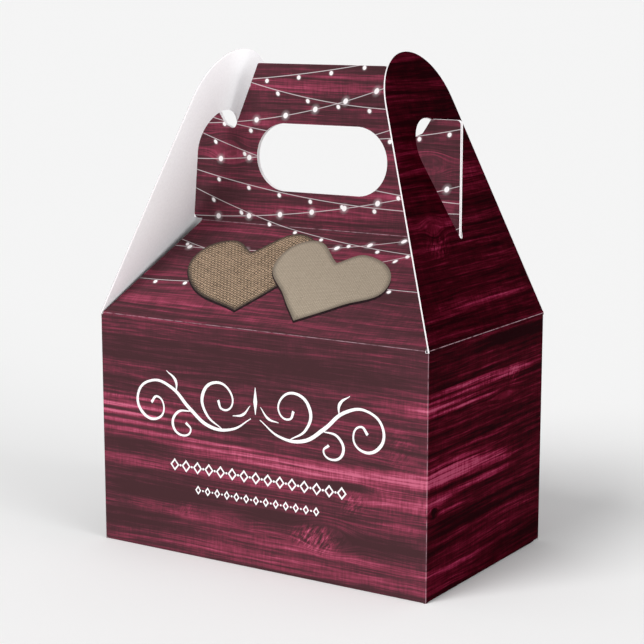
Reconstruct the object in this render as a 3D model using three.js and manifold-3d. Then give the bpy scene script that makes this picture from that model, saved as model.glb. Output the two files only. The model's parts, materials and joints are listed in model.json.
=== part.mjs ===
// A gable-top favour box, folded from one sheet of white-backed printed card.
// Units are millimetres. +Z is up, the front faces -Y, and the origin is under the middle of the base.
// Every panel between two creases is its own flat sheet, and stops short of the crease lines.

import * as THREE from "three";
import { mergeVertices } from "three/addons/utils/BufferGeometryUtils.js";
import Module from "manifold-3d";

const wasm = await Module();
wasm.setup();

// Body
const WIDTH = 101.6; // along the front
const DEPTH = 63.5;
const HEIGHT = 63.5; // base to the top creases
const CARD = 0.45; // thickness of the card
const CREASE_GAP = 0.5; // from a crease line to the edge of the panel beside it
const FACE_GAP = 0.3; // between two sheets that lie face to face

// Roof and handle
const RIDGE_HEIGHT = 86;
const HANDLE_TOP = 129.7;
const HANDLE_FACE = CARD + FACE_GAP / 2; // printed face of a handle panel, from the middle plane
const ROOF_FOOT = 49.95; // half widths of a roof panel, at the top crease of the body and at the ridge
const ROOF_HEAD = 39.3;
const HOLE_HEIGHT = 18.3; // the hand hole, a slot with round ends
const HOLE_LENGTH = 41;
const HOLE_MIDDLE = 104.7;

// Gable flaps, measured up the flap from its crease
const FLAP_LEAN = THREE.MathUtils.degToRad(20);
const FLAP_LENGTH = 74.5;
const FLAP_FOOT = 31.5; // half width at the crease
const FLAP_TAPER = 0.238; // half width lost for each millimetre up
const SLOT_TIP = { along: 25.5, radius: 0.9 };
const SLOT_HEAD = { along: 48.2, radius: 8.6 };

// Snap-lock bottom: four flaps, stacked from the table up
const LEVEL = CARD + FACE_GAP;
const TONGUE_WIDTH = 48;
const NOTCH_WIDTH = 52;

const ROUND = 10; // segments in each arc

const INSIDE_X = WIDTH / 2 - CARD - FACE_GAP;
const INSIDE_Y = DEPTH / 2 - CARD - FACE_GAP;
const ROOF_RUN = DEPTH / 2 - HANDLE_FACE;
const ROOF_RISE = RIDGE_HEIGHT - HEIGHT;
const ROOF_SLANT = Math.hypot(ROOF_RUN, ROOF_RISE);
const ROOF_LEAN = Math.atan2(ROOF_RUN, ROOF_RISE);

const FRONT = 0;
const RIGHT = Math.PI / 2;
const BACK = Math.PI;
const LEFT = -Math.PI / 2;

const box = new THREE.Group();

// A printed sheet shows its burgundy face, and an inner one its white back.
const printed = () =>
  new THREE.MeshStandardMaterial({ color: 0x5a1a2e, roughness: 0.55, metalness: 0 });
const white = () =>
  new THREE.MeshStandardMaterial({ color: 0xf1f0f2, roughness: 0.7, metalness: 0 });

// The frame of a panel on one side of the box: X along the crease, Y up the panel, Z out of its printed face.
function panelFrame(turn, reach, height, lean) {
  const side = new THREE.Group();
  side.rotation.z = turn;
  const frame = new THREE.Group();
  frame.position.set(0, -reach, height);
  frame.rotation.x = Math.PI / 2 - lean;
  side.add(frame);
  box.add(side);
  return frame;
}

// A flat sheet of card with its printed face at the frame's Z = face.
function addSheet(name, frame, outline, material, face = 0) {
  const geometry = new THREE.ExtrudeGeometry(outline, {
    depth: CARD,
    bevelEnabled: false,
    curveSegments: ROUND,
  });
  geometry.translate(0, 0, face - CARD);
  const mesh = new THREE.Mesh(geometry, material);
  mesh.name = name;
  frame.add(mesh);
}

// An outline through corners [x, y, r], each rounded with radius r.
function roundedOutline(corners) {
  const outline = new THREE.Shape();
  corners.forEach(([x, y, radius], i) => {
    const corner = new THREE.Vector2(x, y);
    const [px, py] = corners.at(i - 1);
    const [nx, ny] = corners[(i + 1) % corners.length];
    const back = new THREE.Vector2(px, py).sub(corner).normalize();
    const ahead = new THREE.Vector2(nx, ny).sub(corner).normalize();
    const halfAngle = Math.acos(back.dot(ahead)) / 2;
    const cut = radius / Math.tan(halfAngle);
    const start = corner.clone().addScaledVector(back, cut);
    const end = corner.clone().addScaledVector(ahead, cut);
    if (i === 0) outline.moveTo(start.x, start.y);
    else outline.lineTo(start.x, start.y);
    if (radius > 0) outline.quadraticCurveTo(x, y, end.x, end.y);
  });
  outline.closePath();
  return outline;
}

// The corners of a symmetric outline from those of its right half, listed from the bottom up.
function mirrored(rightHalf) {
  return [...rightHalf, ...rightHalf.toReversed().map(([x, y, radius]) => [-x, y, radius])];
}

// Front, back and side walls of the body.
function addWalls() {
  const top = HEIGHT - CREASE_GAP;
  const wall = (half) => roundedOutline(mirrored([[half, 0, 0], [half, top, 0]]));
  addSheet("front_panel", panelFrame(FRONT, DEPTH / 2, 0, 0), wall(WIDTH / 2), printed());
  addSheet("back_panel", panelFrame(BACK, DEPTH / 2, 0, 0), wall(WIDTH / 2), printed());
  addSheet("right_side_panel", panelFrame(RIGHT, WIDTH / 2, 0, 0), wall(INSIDE_Y), printed());
  addSheet("left_side_panel", panelFrame(LEFT, WIDTH / 2, 0, 0), wall(INSIDE_Y), printed());
}

// The seam flap of the left side panel, glued inside the back panel. Its ends are cut at a slant.
function addGlueFlap() {
  const width = 13;
  const slant = 3;
  const bottom = 3.4;
  const top = 60.6;
  const outline = new THREE.Shape()
    .moveTo(INSIDE_X, bottom)
    .lineTo(INSIDE_X, top)
    .lineTo(INSIDE_X - width, top - slant)
    .lineTo(INSIDE_X - width, bottom + slant);
  addSheet("glue_flap", panelFrame(BACK, INSIDE_Y, 0, 0), outline, white());
}

// A roof panel: a trapezoid from the body's top crease up to the ridge.
function addRoofPanel(name, turn) {
  const slope = (ROOF_FOOT - ROOF_HEAD) / ROOF_SLANT;
  const foot = ROOF_FOOT - slope * CREASE_GAP;
  const head = ROOF_HEAD + slope * CREASE_GAP;
  const corners = mirrored([[foot, CREASE_GAP, 0], [head, ROOF_SLANT - CREASE_GAP, 0]]);
  const frame = panelFrame(turn, DEPTH / 2, HEIGHT, ROOF_LEAN);
  addSheet(name, frame, roundedOutline(corners), printed());
}

// A handle panel stands on the ridge. Its two wings reach out through the gable flaps,
// and a notch between each wing and the grip takes the part of the flap above its slot.
function addHandlePanel(name, turn) {
  const above = (z) => z - RIDGE_HEIGHT;
  const wing = 41.9;
  const rightHalf = [
    [wing, CREASE_GAP, 1.4],
    [wing, above(116.6), 1.1],
    [33.4, above(116.6), 0.6],
    [30.9, above(112.9), 0.8],
    [27.9, above(111.6), 1.2],
    [20, above(HANDLE_TOP), 0.6],
  ];
  const outline = roundedOutline(mirrored(rightHalf));
  const radius = HOLE_HEIGHT / 2;
  const reach = HOLE_LENGTH / 2 - radius;
  const middle = above(HOLE_MIDDLE);
  const hole = new THREE.Path()
    .absarc(reach, middle, radius, -Math.PI / 2, Math.PI / 2, false)
    .absarc(-reach, middle, radius, Math.PI / 2, (3 * Math.PI) / 2, false);
  outline.holes.push(hole);
  const frame = panelFrame(turn, HANDLE_FACE, RIDGE_HEIGHT, 0);
  addSheet(name, frame, outline, printed());
}

// A gable flap: it tapers to a round end, and has a teardrop slot that hooks over the wings.
function addGableFlap(name, turn) {
  const taper = Math.atan(FLAP_TAPER);
  const middle = (FLAP_LENGTH - FLAP_FOOT * Math.cos(taper)) / (1 - Math.sin(taper));
  const radius = FLAP_LENGTH - middle;
  const foot = FLAP_FOOT - FLAP_TAPER * CREASE_GAP;
  const outline = new THREE.Shape()
    .moveTo(-foot, CREASE_GAP)
    .lineTo(foot, CREASE_GAP)
    .absarc(0, middle, radius, taper, Math.PI - taper, false);
  const { along: tip, radius: tipRadius } = SLOT_TIP;
  const { along: head, radius: headRadius } = SLOT_HEAD;
  const spread = Math.asin((headRadius - tipRadius) / (head - tip));
  const slot = new THREE.Path()
    .absarc(0, head, headRadius, -spread, Math.PI + spread, false)
    .absarc(0, tip, tipRadius, Math.PI + spread, 2 * Math.PI - spread, false);
  outline.holes.push(slot);
  addSheet(name, panelFrame(turn, WIDTH / 2, HEIGHT, FLAP_LEAN), outline, printed());
}

// The back bottom flap folds in first and lies on top of the others. Its ears hold the side flaps,
// and the tongue of the front flap comes up through its notch.
function addBackBottomFlap() {
  const earLength = 40;
  const notchDepth = 13;
  const half = INSIDE_X - 0.4;
  const rightHalf = [
    [half, 0, 0],
    [46, earLength - 6, 2],
    [42, earLength, 2],
    [NOTCH_WIDTH / 2, earLength, 2],
    [NOTCH_WIDTH / 2, earLength - notchDepth, 2],
  ];
  const frame = panelFrame(BACK, INSIDE_Y, 2 * LEVEL, Math.PI / 2);
  addSheet("back_bottom_flap", frame, roundedOutline(mirrored(rightHalf)), printed(), CARD);
}

// The side bottom flaps lie between the other two.
function addSideBottomFlap(name, turn) {
  const length = 24.5;
  const rightHalf = [
    [INSIDE_Y - 1, 0, 0],
    [INSIDE_Y - 4, 8, 2],
    [17, length, 3],
  ];
  const frame = panelFrame(turn, INSIDE_X, LEVEL, Math.PI / 2);
  addSheet(name, frame, roundedOutline(mirrored(rightHalf)), printed(), CARD);
}

// A closed mesh as a solid that can be cut.
function solidOf(geometry) {
  geometry.deleteAttribute("normal");
  geometry.deleteAttribute("uv");
  const merged = mergeVertices(geometry, 1e-3);
  const mesh = new wasm.Mesh({
    numProp: 3,
    vertProperties: new Float32Array(merged.attributes.position.array),
    triVerts: new Uint32Array(merged.index.array),
  });
  return new wasm.Manifold(mesh);
}

// A solid's mesh as a three.js geometry.
function geometryOf(solid) {
  const { vertProperties, triVerts } = solid.getMesh();
  const geometry = new THREE.BufferGeometry();
  geometry.setAttribute("position", new THREE.BufferAttribute(vertProperties, 3));
  geometry.setIndex(new THREE.BufferAttribute(triVerts, 1));
  geometry.computeVertexNormals();
  return geometry;
}

// The front bottom flap closes the base from outside. Its tongue bends up through the notch
// and rests on the back flap, so a bent strip is cut to the flap's outline in plan.
function addFrontBottomFlap() {
  const shoulderLength = 26;
  const tongueLength = 47;
  const riseStart = 26.5;
  const riseEnd = 34.5;
  const lift = 3 * LEVEL;
  const half = INSIDE_X - 0.4;
  const rightHalf = [
    [half, 0, 0],
    [46, shoulderLength - 5, 2],
    [42, shoulderLength, 2],
    [TONGUE_WIDTH / 2, shoulderLength, 0],
    [TONGUE_WIDTH / 2, tongueLength - 5, 2],
    [TONGUE_WIDTH / 2 - 4, tongueLength, 3],
  ];
  const plan = new THREE.ExtrudeGeometry(roundedOutline(mirrored(rightHalf)), {
    depth: 10,
    bevelEnabled: false,
    curveSegments: ROUND,
  });
  plan.translate(0, 0, -1);

  const underside = [[-1, 0], [riseStart, 0], [riseEnd, lift], [tongueLength + 1, lift]];
  const topside = underside.toReversed().map(([y, z]) => [y, z + CARD]);
  const profile = new THREE.Shape([...underside, ...topside].map(([y, z]) => new THREE.Vector2(y, z)));
  const strip = new THREE.ExtrudeGeometry(profile, { depth: WIDTH, bevelEnabled: false });
  // The profile's own X and Y become the strip's Y and Z.
  strip.applyMatrix4(new THREE.Matrix4().set(0, 0, 1, -WIDTH / 2, 1, 0, 0, 0, 0, 1, 0, 0, 0, 0, 0, 1));

  const flap = solidOf(strip).intersect(solidOf(plan));
  const mesh = new THREE.Mesh(geometryOf(flap), printed());
  mesh.name = "front_bottom_flap";
  panelFrame(FRONT, INSIDE_Y, 0, Math.PI / 2).add(mesh);
}

addWalls();
addGlueFlap();
addRoofPanel("front_roof_panel", FRONT);
addRoofPanel("back_roof_panel", BACK);
addHandlePanel("front_handle_panel", FRONT);
addHandlePanel("back_handle_panel", BACK);
addGableFlap("right_gable_flap", RIGHT);
addGableFlap("left_gable_flap", LEFT);
addBackBottomFlap();
addSideBottomFlap("right_bottom_flap", RIGHT);
addSideBottomFlap("left_bottom_flap", LEFT);
addFrontBottomFlap();

export default box;
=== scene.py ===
# %% [markdown]
# # A gable-top favour box
# A small wedding favour box is one sheet of card, about half a millimetre thick. It is printed on one
# side, cut to shape, creased, folded, and glued along a single seam. Everything here follows from that:
# flat panels of card, narrow bends between them, a white back, a white cut edge, and ink on the outside.
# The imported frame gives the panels' places and the lines that they fold about.

# %% Load the frame
import json
import math
from collections import namedtuple

import bmesh
import bpy
from mathutils import Matrix, Vector
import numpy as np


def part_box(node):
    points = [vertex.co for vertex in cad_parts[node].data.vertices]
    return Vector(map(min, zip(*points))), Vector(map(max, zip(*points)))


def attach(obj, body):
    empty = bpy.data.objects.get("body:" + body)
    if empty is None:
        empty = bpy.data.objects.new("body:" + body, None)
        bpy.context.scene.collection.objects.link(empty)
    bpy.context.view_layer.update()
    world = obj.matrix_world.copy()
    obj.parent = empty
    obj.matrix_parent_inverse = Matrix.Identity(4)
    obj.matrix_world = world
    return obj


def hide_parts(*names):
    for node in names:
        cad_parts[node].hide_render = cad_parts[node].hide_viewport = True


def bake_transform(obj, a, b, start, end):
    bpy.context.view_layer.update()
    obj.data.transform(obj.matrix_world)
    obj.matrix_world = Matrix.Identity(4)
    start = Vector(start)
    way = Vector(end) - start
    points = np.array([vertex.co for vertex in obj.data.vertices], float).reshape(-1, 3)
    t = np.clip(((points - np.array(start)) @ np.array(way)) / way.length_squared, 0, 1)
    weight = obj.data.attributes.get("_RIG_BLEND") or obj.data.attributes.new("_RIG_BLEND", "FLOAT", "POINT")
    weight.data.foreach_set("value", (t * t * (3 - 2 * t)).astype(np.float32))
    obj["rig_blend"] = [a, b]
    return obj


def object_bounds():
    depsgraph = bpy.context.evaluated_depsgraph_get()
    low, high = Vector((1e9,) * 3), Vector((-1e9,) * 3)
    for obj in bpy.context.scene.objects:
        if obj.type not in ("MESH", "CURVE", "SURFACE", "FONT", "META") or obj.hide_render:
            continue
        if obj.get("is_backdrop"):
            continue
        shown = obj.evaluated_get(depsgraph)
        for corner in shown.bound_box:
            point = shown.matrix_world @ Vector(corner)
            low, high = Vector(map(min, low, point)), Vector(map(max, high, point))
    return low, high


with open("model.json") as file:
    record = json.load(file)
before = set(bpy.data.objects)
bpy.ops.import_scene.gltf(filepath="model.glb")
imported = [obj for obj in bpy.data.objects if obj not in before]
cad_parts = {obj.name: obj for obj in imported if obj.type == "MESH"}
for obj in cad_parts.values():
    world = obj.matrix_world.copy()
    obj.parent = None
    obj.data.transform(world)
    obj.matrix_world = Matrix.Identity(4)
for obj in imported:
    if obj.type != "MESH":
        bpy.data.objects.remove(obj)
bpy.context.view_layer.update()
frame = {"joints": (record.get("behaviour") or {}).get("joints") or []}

MM = 0.001

# %% [markdown]
# ## Sizes
# The body's width, depth and height come from the frame, and so do the fold lines of the roof and handle.
# What the frame doesn't say, such as how tight a bend is, is a named value. All lengths are in millimetres.

# %% Read the sizes
front_low, front_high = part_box("front_panel")
fold_place = {joint["name"]: Vector(joint["pos_m"]) / MM for joint in frame["joints"]}

HALF_WIDTH = front_high.x / MM
HALF_DEPTH = -front_low.y / MM
CARD = (front_high.y - front_low.y) / MM
HEIGHT = fold_place["front_roof_fold"].z
CREASE = HEIGHT - front_high.z / MM  # from a fold line to the edge of the panel beside it
RIDGE_HEIGHT = fold_place["front_handle_fold"].z
HANDLE_FACE = -fold_place["front_handle_fold"].y
HANDLE_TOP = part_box("front_handle_panel")[1].z / MM
CORNER = 0.75  # outer radius of the upright corners

ROOF_RUN = HALF_DEPTH - HANDLE_FACE
ROOF_RISE = RIDGE_HEIGHT - HEIGHT
ROOF_SLANT = math.hypot(ROOF_RUN, ROOF_RISE)
ROOF_LEAN = math.atan2(ROOF_RUN, ROOF_RISE)
FLAP_LEAN = math.radians(20)
QUARTER_TURN = math.pi / 2
print(f"card {CARD:.2f} mm, roof slant {ROOF_SLANT:.1f} mm, lean {math.degrees(ROOF_LEAN):.1f} degrees")

# %% [markdown]
# ## The camera and the light
# A long lens looks a little down at the box from the front right. A large soft light stands at the front
# left, a second one fills the narrow side, and a pale room fills the shade. The lights are suns, because
# a sun is as strong everywhere, and its angle makes its shadows soft. The floor is plain and pale, so it
# gives light back to the box.

# %% Camera
CAMERA_AZIMUTH = math.radians(32.62)
CAMERA_ELEVATION = math.radians(10.42)
CAMERA_PLACE = (0.25506, -0.39846, 0.14778)
CAMERA_LENS = 99.54

camera_data = bpy.data.cameras.new("camera")
camera_data.lens = CAMERA_LENS
camera_data.clip_start = 0.01
camera_data.clip_end = 200
camera = bpy.data.objects.new("camera", camera_data)
bpy.context.collection.objects.link(camera)
towards_camera = Vector((
    math.sin(CAMERA_AZIMUTH) * math.cos(CAMERA_ELEVATION),
    -math.cos(CAMERA_AZIMUTH) * math.cos(CAMERA_ELEVATION),
    math.sin(CAMERA_ELEVATION),
))
camera.location = CAMERA_PLACE
camera.rotation_euler = towards_camera.to_track_quat("Z", "Y").to_euler()
bpy.context.scene.camera = camera
bpy.context.scene.view_settings.view_transform = "Standard"
print("camera at", [round(x / MM) for x in camera.location], "mm")

# %% [markdown]
# ## Colours and shader nodes
# A colour is easiest to name by its hex code, but light adds up in linear numbers, so one function turns
# the first into the second. A material is a tree of nodes, and each would take several lines to place, set
# and link. One function does all three, so that a material below reads like a list of its layers.

# %% Colours and nodes
def colour(code):
    """A colour from its sRGB hex code, as the linear numbers that shaders use."""
    channels = [int(code[i:i + 2], 16) / 255 for i in (1, 3, 5)]
    linear = [c / 12.92 if c <= 0.04045 else ((c + 0.055) / 1.055) ** 2.4 for c in channels]
    return (*linear, 1.0)


def add(tree, kind, inputs=(), gives=0, stops=(), **settings):
    """Adds one node with its settings, fills or links its inputs, and gives one of its outputs.
    Inputs are listed in the order of the sockets, or named in a dictionary. Stops are for a colour ramp:
    (position, hex code), from low to high."""
    node = tree.nodes.new(f"ShaderNode{kind}")
    for name, value in settings.items():
        setattr(node, name, value)
    for socket, value in inputs.items() if isinstance(inputs, dict) else enumerate(inputs):
        if isinstance(value, bpy.types.NodeSocket):
            tree.links.new(value, node.inputs[socket])
        else:
            node.inputs[socket].default_value = value
    for i, (position, code) in enumerate(stops):
        elements = node.color_ramp.elements
        element = elements[i] if i < len(elements) else elements.new(1.0)
        element.position, element.color = position, colour(code)
    return node.outputs[gives] if len(node.outputs) else node


print("mid grey is", round(colour("#808080")[0], 3), "in linear light")

# %% Light
ROOM_LIGHT = 0.44  # how strongly the room lights the box
ROOM_SEEN = 0.871  # how bright the room looks behind it

world = bpy.data.worlds.new("studio")
world.use_nodes = True
bpy.context.scene.world = world
room = world.node_tree
room.nodes.clear()
seen = add(room, "LightPath", gives="Is Camera Ray")
strength = add(room, "MapRange", {"Value": seen, "To Min": ROOM_LIGHT, "To Max": ROOM_SEEN})
background = add(room, "Background", {"Color": colour("#ffffff"), "Strength": strength})
add(room, "OutputWorld", {"Surface": background})


def add_sun(name, towards, strength, softness):
    """A sun is a far, even light. Its angle in degrees says how soft its shadows are."""
    data = bpy.data.lights.new(name, "SUN")
    data.energy = strength
    data.angle = math.radians(softness)
    sun = bpy.data.objects.new(name, data)
    bpy.context.collection.objects.link(sun)
    sun.rotation_euler = Vector(towards).to_track_quat("Z", "Y").to_euler()


add_sun("key_light", (-0.3, -0.85, 0.9), 1.95, 30)
add_sun("fill_light", (0.95, -0.12, 0.1), 2.75, 45)
print(len(bpy.data.lights), "suns in a room of strength", ROOM_LIGHT)

# %% Floor
FLOOR_REACH = 100  # metres from the middle, which is past the edge of every view

floor_mesh = bpy.data.meshes.new("floor")
bm = bmesh.new()
bmesh.ops.create_grid(bm, x_segments=1, y_segments=1, size=FLOOR_REACH)
bm.to_mesh(floor_mesh)
bm.free()
floor = bpy.data.objects.new("floor", floor_mesh)
bpy.context.collection.objects.link(floor)
# Matt paint, rolled smooth: it spreads the light evenly, so the box's soft shadow shows and no highlight.
floor_paint = bpy.data.materials.new("matt_floor_paint")
floor_paint.use_nodes = True
matt = floor_paint.node_tree.nodes["Principled BSDF"]
matt.inputs["Base Color"].default_value = colour("#f4f4f4")
matt.inputs["Roughness"].default_value = 1.0
matt.inputs["Specular IOR Level"].default_value = 0.0
floor_mesh.materials.append(floor_paint)
floor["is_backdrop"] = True
print("floor reaches", FLOOR_REACH, "m each way")

# %% [markdown]
# ## Folding a sheet
# The real box is drawn and printed flat, and then folded. It could be modelled upright, face by face, but
# each slanted outline would have to be worked out in space. So every panel is drawn flat here too, in its
# own frame: X runs along its crease, Y runs up the panel, and Z comes out of its printed face. A panel also
# knows where it lies on the unfolded sheet, because the print is drawn there. Folding moves on to the next
# panel in both at once, so that the print runs over the creases.

# %% Panels in space and on the flat sheet
Panel = namedtuple("Panel", "frame sheet")
FRONT, RIGHT, BACK, LEFT = 0, QUARTER_TURN, math.pi, -QUARTER_TURN


def wall(turn, reach, along):
    """The frame of an upright panel, its outer face that far from the middle."""
    stand = Matrix.Rotation(QUARTER_TURN, 4, "X")
    place = Matrix.Rotation(turn, 4, "Z") @ Matrix.Translation((0, -reach, 0)) @ stand
    return Panel(place, Matrix.Translation((along, 0, 0)))


def fold(panel, up, angle):
    """The panel that starts that far up, folded by that angle: out of the printed face if positive."""
    step = Matrix.Translation((0, up, 0))
    return Panel(panel.frame @ step @ Matrix.Rotation(angle, 4, "X"), panel.sheet @ step)


CENTRES = HALF_WIDTH + HALF_DEPTH  # between the middles of neighbouring walls on the flat sheet
HALF_ROUND = 2 * CENTRES
front = wall(FRONT, HALF_DEPTH, 0)
right = wall(RIGHT, HALF_WIDTH, CENTRES)
back = wall(BACK, HALF_DEPTH, HALF_ROUND)
left = wall(LEFT, HALF_WIDTH, -CENTRES)
front_roof = fold(front, HEIGHT, -ROOF_LEAN)
back_roof = fold(back, HEIGHT, -ROOF_LEAN)
front_handle = fold(front_roof, ROOF_SLANT, ROOF_LEAN)
back_handle = fold(back_roof, ROOF_SLANT, ROOF_LEAN)
left_gable = fold(left, HEIGHT, -FLAP_LEAN)
right_gable = fold(right, HEIGHT, -FLAP_LEAN)
HANDLE_UP = HEIGHT + ROOF_SLANT
print(f"the flat sheet is {2 * HALF_ROUND:.1f} mm round, and its handle starts {HANDLE_UP:.1f} mm up")

# %% [markdown]
# ## The printed picture
# The outside is offset-printed with a picture of stained boards: long streaks of burgundy on near black,
# dense in some bands and thin in others, with a few knots that the grain flows round. An image would repeat
# and blur close up, and a plain wood texture would put its boards anywhere, so the picture is drawn from
# noise that is stretched along the grain, and soft ellipses say where the bright and dark boards are. It
# belongs to the flat sheet: each pattern reads the sheet's own UV map, so no fold breaks a streak.

# %% Places on the sheet
# Each row is (along, up, half length, half height, strength) on the flat sheet.
BRIGHT_BOARDS = [
    (-48, 41.0, 38, 0.75, 1.0), (-48, 38.7, 42, 0.8, 1.05), (-46, 36.5, 48, 0.85, 1.0),
    (-40, 34.3, 48, 0.85, 0.8), (-30, 32.0, 44, 1.1, 0.75), (2, 29.5, 46, 3.0, 0.7),
    (34, 29.0, 36, 4.0, 0.55), (44, 24.0, 24, 4.5, 0.75), (-4, 23.2, 36, 1.7, 0.55),
    (44, 18.2, 17, 1.3, 0.7), (12, 19.0, 22, 1.6, 0.45), (-40, 23.0, 22, 1.4, 0.4),
    (6, 3.5, 80, 4.0, 0.38), (20, 8.0, 44, 2.0, 0.35), (-22, 11.5, 34, 1.1, 0.25),
    (50, 48.5, 20, 2.8, 0.45), (-20, 50, 40, 1.2, 0.15), (-30, 70, 40, 2.5, 0.2),
    (20, 84, 40, 3, 0.18), (0, 96, 60, 3, 0.14), (-6, 106, 48, 3.0, 0.18), (30, 119, 22, 3, 0.25),
    (-30, 120, 20, 3, 0.25), (0, 139, 34, 4.0, 0.35), (72, 51.9, 36, 1.1, 0.9),
    (78, 50.2, 38, 0.8, 0.85), (66, 48.5, 28, 0.7, 0.7), (70, 46.9, 26, 0.6, 0.6),
    (98, 51.0, 22, 1.3, 0.5), (92, 11, 44, 8, 0.16), (60, 31.5, 30, 3.6, 0.7),
    (78, 29.5, 38, 3.6, 0.5), (60, 25.5, 16, 2.2, 0.6), (82, 25.6, 22, 1.3, 0.55),
    (92, 36.0, 30, 2.0, 0.3), (62, 21.8, 14, 1.0, 0.5), (64, 7.0, 26, 2.4, 0.32),
    (98, 14.0, 26, 2.6, 0.3), (84, 72, 40, 3.0, 0.35), (74, 92, 20, 4.0, 0.35),
    (94, 104, 18, 5.0, 0.3), (80, 124, 22, 5.0, 0.35), (140, 44, 40, 4, 0.5), (186, 30, 44, 5, 0.6),
    (160, 12, 60, 3, 0.4), (165, 80, 60, 4, 0.25), (165, 138, 34, 4, 0.35), (-84, 40, 40, 3, 0.5),
    (-90, 20, 30, 4, 0.4), (-82, 90, 26, 5, 0.35), (-78, 118, 22, 5, 0.3),
]
DARK_BOARDS = [
    (-34, 16.5, 30, 4.0, 0.4), (-42, 7, 34, 6, 0.32), (6, 15.0, 18, 2.6, 0.35), (40, 12.5, 22, 4.0, 0.4),
    (27, 26.6, 12, 1.8, 0.5), (-40, 28.0, 20, 2.0, 0.35), (54.2, 22.4, 1.5, 1.7, 0.9),
    (100, 60, 30, 4, 0.35), (100, 4, 30, 3, 0.12), (64, 17, 26, 3, 0.22), (100, 30, 12, 2.5, 0.3),
    (0, 55, 90, 7, 0.2), (86, 121, 26, 13, 0.22),
]
# Round a knot the wood is wrinkled across the grain.
WRINKLED_BOARDS = [
    (18.5, 11.5, 11, 5.0, 1.0), (29.5, 22.5, 6, 5.0, 0.5), (43, 38, 6, 7, 0.3), (-22, 13, 5, 3.5, 0.35),
    (160, 24, 12, 6, 0.8), (-92, 34, 7, 5, 0.5), (96, 50, 7, 4, 0.5), (70, 88, 8, 6, 0.6),
]
# Here the strength is how far the grain is pushed away from the knot's middle.
KNOTS = [
    (22, 12.5, 13, 6, 1.35), (-4, 13, 9, 3, 0.9), (29, 25, 12, 4, 0.9), (54.2, 22.4, 4, 2.5, 1.3),
    (-30, 122, 9, 6, 1.25), (33, 121, 9, 5, 1.2), (-12, 84, 14, 5, 0.9), (92, 45, 12, 3, 0.8),
    (70, 92, 8, 5, 1.0), (92, 112, 7, 5, 1.0), (140, 22, 14, 6, 1.3), (190, 50, 12, 5, 1.3),
    (170, 120, 12, 5, 1.2), (-80, 30, 12, 5, 1.3), (-88, 84, 8, 5, 1.1),
]
print(len(BRIGHT_BOARDS), "bright and", len(DARK_BOARDS), "dark boards,", len(KNOTS), "knots")


# %% Patterns on the sheet
SMOOTH = {"interpolation_type": "SMOOTHSTEP"}
SPOT_CORE = 0.15  # the share of a soft ellipse's reach that is full


def sheet_point(tree):
    """The point on the flat sheet, in millimetres, as a vector."""
    uv = add(tree, "UVMap", uv_map="print")
    return add(tree, "VectorMath", {0: uv, "Scale": 1 / MM}, operation="SCALE")


def all_together(tree, operation, values):
    """Joins many values into one, such as their sum or their highest."""
    result = values[0]
    for value in values[1:]:
        result = add(tree, "Math", (result, value), operation=operation)
    return result


def soft_ellipse(tree, point, along, up, half_length, half_height, strength):
    """A soft spot on the sheet, full in its middle and nothing at its rim."""
    scale = (1 / half_length, 1 / half_height, 0)
    shift = (-along / half_length, -up / half_height, 0)
    inside = add(tree, "VectorMath", (point, scale, shift), operation="MULTIPLY_ADD")
    distance = add(tree, "VectorMath", (inside,), gives="Value", operation="LENGTH")
    return add(tree, "MapRange", (distance, SPOT_CORE, 1.0, strength, 0.0), **SMOOTH)


def spots(tree, point, rows):
    """The sum of soft ellipses."""
    return all_together(tree, "ADD", [soft_ellipse(tree, point, *row) for row in rows])


def streaks(tree, along, up, length, height, detail, seed, roughness=0.6):
    """Noise in streaks of about that length and height. The seed picks another place in the noise."""
    x = add(tree, "Math", (along, 1 / length), operation="MULTIPLY")
    y = add(tree, "Math", (up, 1 / height), operation="MULTIPLY")
    place = add(tree, "CombineXYZ", (x, y, seed))
    settings = {"Vector": place, "Scale": 1.0, "Detail": detail, "Roughness": roughness}
    return add(tree, "TexNoise", settings)


print("a soft ellipse is full for", round(SPOT_CORE * 100), "percent of its reach")


# %% The grain and its marks
WANDER = 3.0  # how far the grain drifts up and down
SAW_MARKS = (0.5, 3.5)  # length and height of one mark across the grain
WRINKLES = (2.6, 0.75)  # length and height of one wrinkle
WRINKLE_LEAN = -0.95  # radians from the grain


def grain_height(tree, point, along, up):
    """The height on the sheet, bent so that the grain wanders, and flows round the knots."""
    drift = streaks(tree, along, up, length=60, height=14, detail=1, seed=3.1)
    height = add(tree, "Math", (drift, WANDER, up), operation="MULTIPLY_ADD")
    for x, y, half_length, half_height, push in KNOTS:
        knot = soft_ellipse(tree, point, x, y, half_length, half_height, push)
        offset = add(tree, "Math", (up, y), operation="SUBTRACT")
        bulge = add(tree, "Math", (offset, knot), operation="MULTIPLY")
        height = add(tree, "Math", (height, bulge), operation="SUBTRACT")
    return height


def saw_marks(tree, along, up, bright):
    """Fine marks across the grain, stronger on the bright boards."""
    marks = streaks(tree, along, up, *SAW_MARKS, detail=1, seed=12.3)
    marks = add(tree, "Math", (marks, 0.5, -0.25), operation="MULTIPLY_ADD")
    share = add(tree, "Math", (bright, 0.9, 0.4), operation="MULTIPLY_ADD")
    return add(tree, "Math", (marks, share), operation="MULTIPLY")


def wrinkles(tree, point):
    """Short slanting ridges and valleys, where the boards are wrinkled."""
    slanted = add(tree, "Mapping", {"Vector": point, "Rotation": (0, 0, WRINKLE_LEAN)})
    x = add(tree, "SeparateXYZ", (slanted,), gives="X")
    y = add(tree, "SeparateXYZ", (slanted,), gives="Y")
    ridges = streaks(tree, x, y, *WRINKLES, detail=3, seed=41.0, roughness=0.75)
    ridges = add(tree, "Math", (ridges, 3.4, -1.45), operation="MULTIPLY_ADD")
    return add(tree, "Math", (ridges, spots(tree, point, WRINKLED_BOARDS)), operation="MULTIPLY")


print("saw marks are", SAW_MARKS[0], "mm apart, and wrinkles", WRINKLES[1], "mm")


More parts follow.
